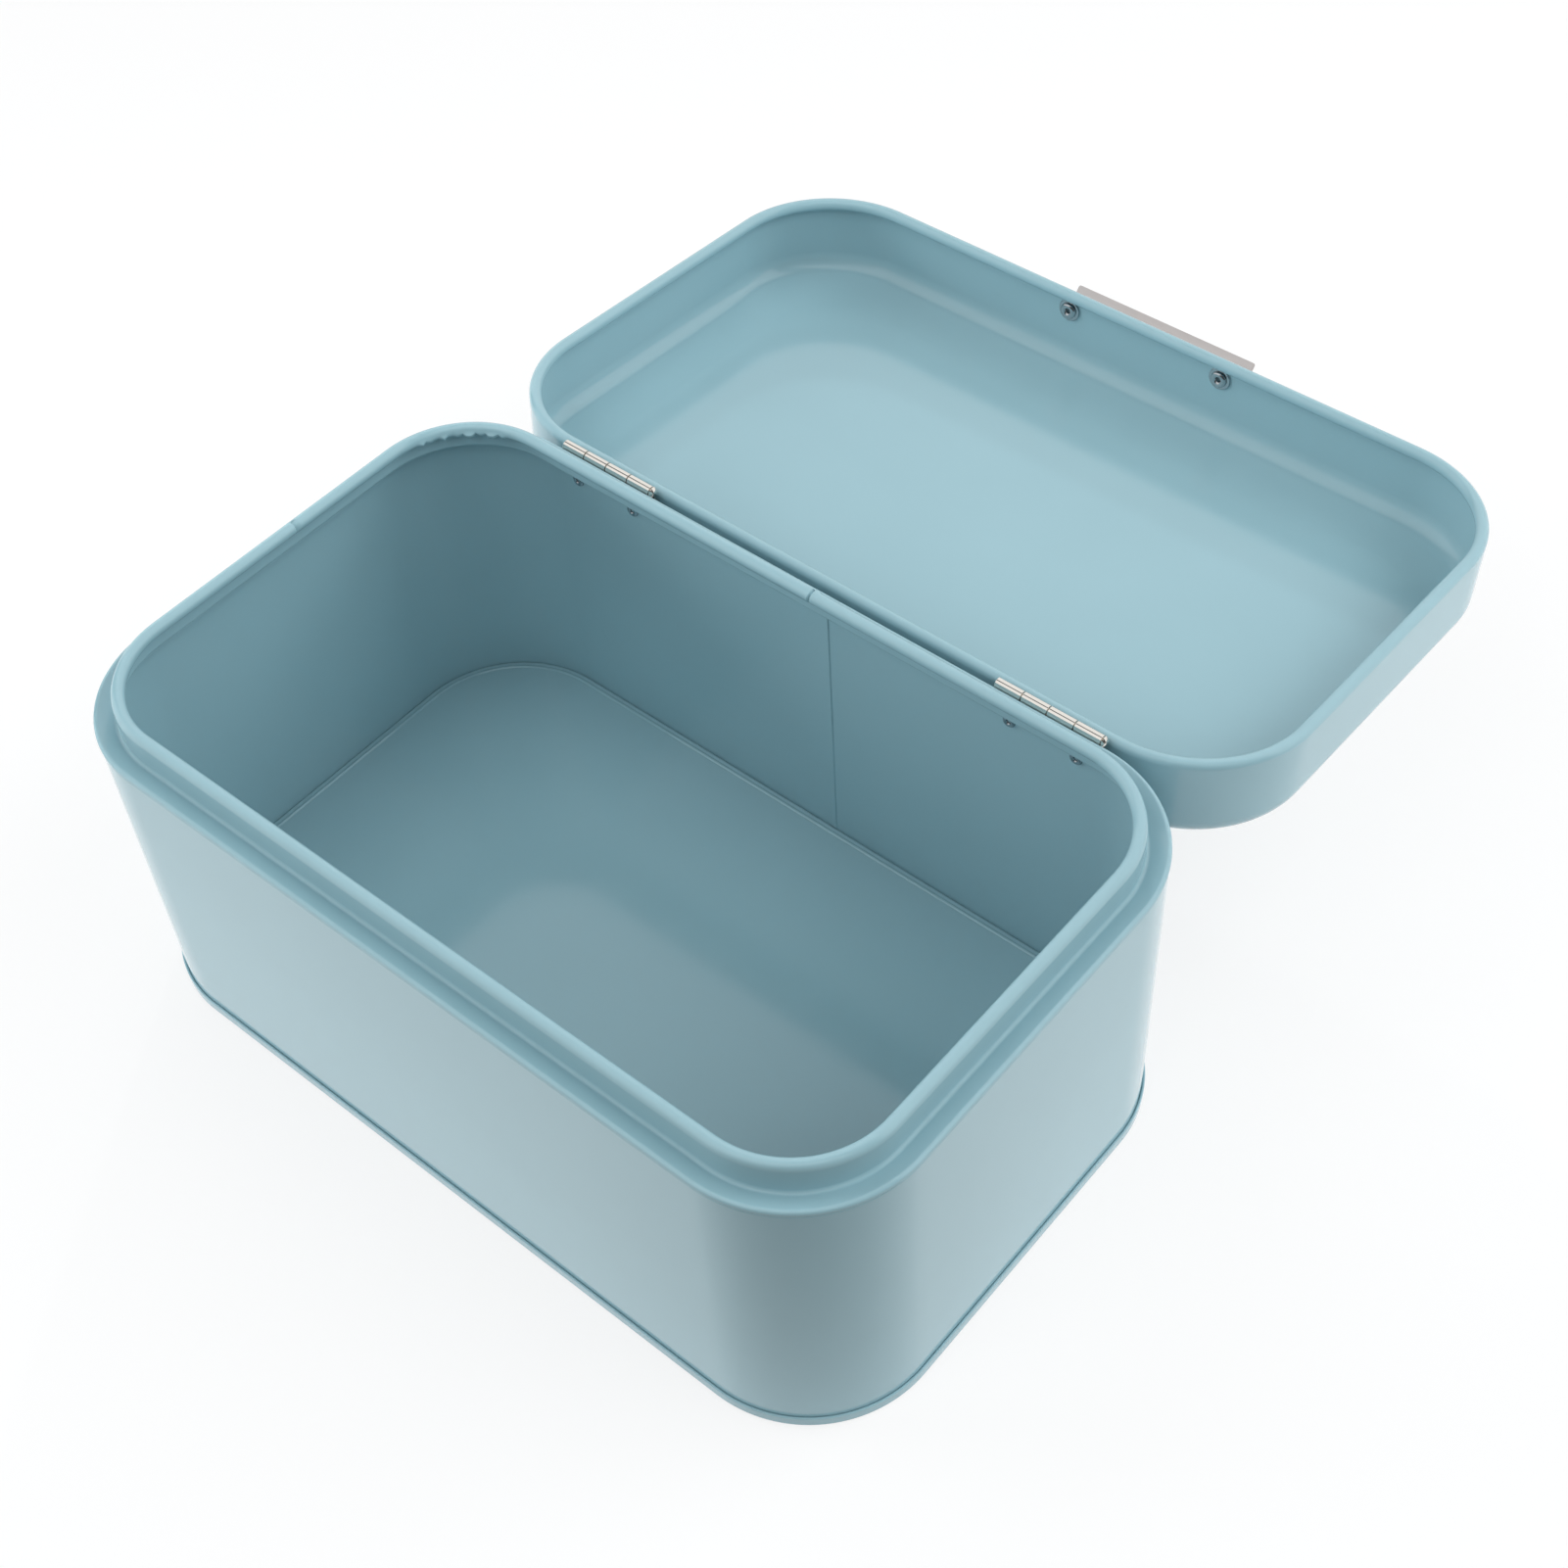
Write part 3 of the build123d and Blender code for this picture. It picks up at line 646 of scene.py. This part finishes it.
def make_rivet(name, place, facing, grip, head, rise, shank, clinch, bore):
    """place is where the rivet's middle meets the innermost sheet, and it faces out of the box."""
    dome = (head ** 2 + rise ** 2) / (2 * rise)
    fall = atan2(head, dome - rise)
    curl = (clinch - bore) / 2
    start = Vector((0, 0, grip + rise))
    rivet = start_piece(name, start)
    draw_section(start, 0, [
        (dome, -fall), (0, fall - pi), (head - shank, 0), (0, pi / 2), (grip, 0), (0, pi / 2), (clinch - shank, 0),
        (0, -pi / 2), (curl, -pi), (BORE_DEPTH, 0), (0, pi / 2), (bore, 0),
    ])
    turn_round(rivet, place, facing)
    return rivet


grip = SHEET + 2 * PLY_GAP + LEAF
for side in ("left", "right"):
    for number in (1, 2):
        low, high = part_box(f"{side}_body_rivet_{number}")
        x, z = (low.x + high.x) / 2, (low.z + high.z) / 2
        place = Vector((x, DEPTH / 2 - SHEET - PLY_GAP, z))
        rivet = make_rivet(f"{side}_body_rivet_clinched_{number}", place, (0, 1, 0), grip, **HINGE_RIVET)
        dress(rivet, "bin", f"{side}_body_rivet_{number}", zinc)
        place.z = 2 * axis.z - z
        rivet = make_rivet(f"{side}_lid_rivet_clinched_{number}", place, (0, 1, 0), grip, **HINGE_RIVET)
        fold_back(rivet)
        dress(rivet, "lid", f"{side}_lid_rivet_{number}", zinc)

# Handle rivets and their washers
# The same kind of rivet, one size larger, with its head on the handle and its tube clinched over a plain stamped washer
# inside the lid, which keeps it from pulling through the sheet.
HANDLE_RIVET_RISE = 9.2 * MM
WASHER = 4.25 * MM
WASHER_THICKNESS = 0.8 * MM
WASHER_EDGE = 0.25 * MM
for side in ("left", "right"):
    low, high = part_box(f"handle_rivet_{side}")
    x = (low.x + high.x) / 2
    z = lid_seat + HANDLE_RIVET_RISE
    washer_face = lid_front + SHEET + PLY_GAP
    grip = HANDLE_SHEET + SHEET + WASHER_THICKNESS + 3 * PLY_GAP
    place = Vector((x, washer_face + WASHER_THICKNESS + PLY_GAP, z))
    rivet = make_rivet(f"handle_rivet_{side}_clinched", place, (0, -1, 0), grip, **HANDLE_RIVET)
    fold_back(rivet)
    dress(rivet, "lid", f"handle_rivet_{side}", zinc)

    hole = HANDLE_RIVET["shank"]
    start = Vector((0, hole, 0))
    washer = start_piece(f"handle_washer_{side}_stamped", start)
    draw_section(start, 0, [
        (WASHER - WASHER_EDGE - hole, 0), (WASHER_EDGE, pi / 2), (WASHER_THICKNESS - 2 * WASHER_EDGE, 0),
        (WASHER_EDGE, pi / 2), (WASHER - WASHER_EDGE - hole, 0), (0, pi / 2), (WASHER_THICKNESS, 0),
    ])
    turn_round(washer, (x, washer_face, z), (0, 1, 0))
    fold_back(washer)
    dress(washer, "lid", f"handle_washer_{side}", zinc)

# Floor
# A plain pale sweep under the box. Seen straight on it is near white, and it keeps a soft shadow. Everything else sees
# a painted shade on it: from a little way in front of the box, its tone and glow are painted darker towards the front
# right, so the walls that face that way mirror it bright near the box and dark farther out.
FLOOR_SIZE = 6.0
FLOOR_TONE = "#f4f6f7"
TO_FRONT_RIGHT = (0.682, -0.731, 0)
# Where the painted shade on the sweep starts and is full, and how dark it is painted there
PAINTED_SHADE_START = 100 * MM
PAINTED_SHADE_FULL = 300 * MM
PAINTED_SHADE_LEVEL = 0.2
GLOW_SEEN = 0.75        # the rest of what the camera sees is lit paper, which takes the shadow
bpy.ops.object.select_all(action="DESELECT")
bpy.ops.mesh.primitive_plane_add(size=FLOOR_SIZE)
sweep = bpy.context.object
sweep.name = "pale_sweep"
pale = new_material("pale_paper_sweep")
tree = pale.node_tree
place = add(tree, "ShaderNodeTexCoord").outputs["Object"]
ahead = add(tree, "ShaderNodeVectorMath", {0: place, 1: TO_FRONT_RIGHT}, operation="DOT_PRODUCT").outputs["Value"]
# Painted shade: the paper's tone and glow are painted darker with distance towards the front right
painted_light_level = add(tree, "ShaderNodeMapRange", {
    "Value": ahead, "From Min": PAINTED_SHADE_START, "From Max": PAINTED_SHADE_FULL, "To Min": 1.0, "To Max": PAINTED_SHADE_LEVEL},
    interpolation_type="SMOOTHSTEP").outputs["Result"]
rays = add(tree, "ShaderNodeLightPath").outputs
level = add(tree, "ShaderNodeMath", {0: rays["Is Camera Ray"], 1: painted_light_level}, operation="MAXIMUM").outputs["Value"]
shade = add(tree, "ShaderNodeMix", {"Factor": level, "A": (0, 0, 0, 1), "B": paint(FLOOR_TONE)}, data_type="RGBA")
paper = add(tree, "ShaderNodeBsdfDiffuse", {"Color": shade.outputs["Result"]})
glow = add(tree, "ShaderNodeEmission", {"Color": (1, 1, 1, 1), "Strength": level})
mirrored = add(tree, "ShaderNodeMath", {
    0: rays["Is Glossy Ray"], 1: rays["Is Transmission Ray"]}, operation="MAXIMUM").outputs["Value"]
seen = add(tree, "ShaderNodeMath", {
    0: rays["Is Camera Ray"], 1: GLOW_SEEN, 2: mirrored}, operation="MULTIPLY_ADD").outputs["Value"]
mix = add(tree, "ShaderNodeMixShader", {0: seen, 1: paper.outputs["BSDF"], 2: glow.outputs["Emission"]})
add(tree, "ShaderNodeOutputMaterial", {"Surface": mix.outputs["Shader"]})
sweep.data.materials.append(pale)

# Light
# A pale room lights everything softly, and large soft boxes shape it: low on the left and right, and high in front, on
# the right and behind. A small one above the left end lifts the near wall, and a hard little lamp far behind casts a
# clear edge of shadow in the lid. The enamel and the metal mirror the room alone, which has two dark places: the part
# behind the camera, and the gap between two pale panels overhead.
ROOM_LIGHT = 0.34
AIM = Vector((0, 90, 100)) * MM
DARK_ROOM = (0.45, 0.65)    # the room darkens between these, as a direction turns to the camera's side
DARK_ROOM_LEVEL = 0.1
GAP_SIDE = (0, 0.99, -0.139)
GAP_EDGE = (0.1, 0.15)
GAP_LEVEL = 0.05
world = bpy.data.worlds.new("pale_room")
bpy.context.scene.world = world
world.use_nodes = True
tree = world.node_tree
tree.nodes.clear()
rays = add(tree, "ShaderNodeLightPath").outputs
mirrored = add(tree, "ShaderNodeMath", {
    0: rays["Is Glossy Ray"], 1: rays["Is Transmission Ray"]}, operation="MAXIMUM").outputs["Value"]
shown = add(tree, "ShaderNodeMath", {0: rays["Is Camera Ray"], 1: mirrored}, operation="MAXIMUM").outputs["Value"]
dim = add(tree, "ShaderNodeBackground", {"Color": (1, 1, 1, 1), "Strength": ROOM_LIGHT})
way = add(tree, "ShaderNodeTexCoord").outputs["Object"]
ahead = add(tree, "ShaderNodeVectorMath", {0: way, 1: TO_FRONT_RIGHT}, operation="DOT_PRODUCT").outputs["Value"]
pale_part = add(tree, "ShaderNodeMapRange", {
    "Value": ahead, "From Min": DARK_ROOM[0], "From Max": DARK_ROOM[1],
    "To Min": 1.0, "To Max": DARK_ROOM_LEVEL}).outputs["Result"]
across = add(tree, "ShaderNodeVectorMath", {0: way, 1: GAP_SIDE}, operation="DOT_PRODUCT").outputs["Value"]
off_gap = add(tree, "ShaderNodeMath", {0: across}, operation="ABSOLUTE").outputs["Value"]
beside_gap = add(tree, "ShaderNodeMapRange", {
    "Value": off_gap, "From Min": GAP_EDGE[0], "From Max": GAP_EDGE[1],
    "To Min": GAP_LEVEL, "To Max": 1.0}).outputs["Result"]
pale_part = add(tree, "ShaderNodeMath", {0: pale_part, 1: beside_gap}, operation="MULTIPLY").outputs["Value"]
level = add(tree, "ShaderNodeMath", {0: rays["Is Camera Ray"], 1: pale_part}, operation="MAXIMUM").outputs["Value"]
white = add(tree, "ShaderNodeBackground", {"Color": (1, 1, 1, 1), "Strength": level})
mix = add(tree, "ShaderNodeMixShader", {0: shown, 1: dim.outputs["Background"], 2: white.outputs["Background"]})
add(tree, "ShaderNodeOutputWorld", {"Surface": mix.outputs["Shader"]})


def soft_box(name, round_from_front, up, distance, width, power):
    """A round soft box that faces the aim, turned from straight in front towards the right, and raised. No piece
    mirrors it."""
    lamp = bpy.data.lights.new(name, "AREA")
    lamp.shape = "DISK"
    lamp.size = width
    lamp.energy = power
    box = bpy.data.objects.new(name, lamp)
    bpy.context.scene.collection.objects.link(box)
    turned, raised = radians(round_from_front), radians(up)
    way = Vector((sin(turned) * cos(raised), -cos(turned) * cos(raised), sin(raised)))
    box.location = AIM + way * distance
    box.rotation_euler = (-way).to_track_quat("-Z", "Y").to_euler()
    box.visible_glossy = False


soft_box("left_soft_box", 300, 12, 1.6, 1.0, 13.6)
soft_box("right_soft_box", 125, 12, 1.6, 1.0, 5.3)
soft_box("high_right_soft_box", 100, 45, 1.6, 1.0, 6.9)
soft_box("high_back_soft_box", 145, 40, 1.6, 1.0, 8.4)
soft_box("high_front_soft_box", 0, 45, 1.6, 1.0, 6.4)
soft_box("small_left_soft_box", 279, 63, 0.56, 0.35, 0.7)
soft_box("far_hard_lamp", 217.3, 20.5, 2.47, 0.1, 8.0)

# Camera
# Where the photograph was taken from, high in front on the right, as someone stands who looks down into the box. Its
# place and lens were fitted to the outlines of the base, the rim and the lid.
CAMERA_PLACE = Vector((344.29, -299.00, 632.67)) * MM
CAMERA_TURN = [radians(angle) for angle in (40.531, 2.536, 39.837)]
SENSOR_WIDTH = 36
LENS = 53.92
NEAREST = 0.01
camera = bpy.data.objects.new("camera", bpy.data.cameras.new("camera"))
camera.data.sensor_width = SENSOR_WIDTH
camera.data.lens = LENS
camera.data.clip_start = NEAREST
camera.location = CAMERA_PLACE
camera.rotation_euler = CAMERA_TURN
bpy.context.scene.collection.objects.link(camera)
bpy.context.scene.camera = camera

bpy.context.scene.view_settings.view_transform = "Standard"
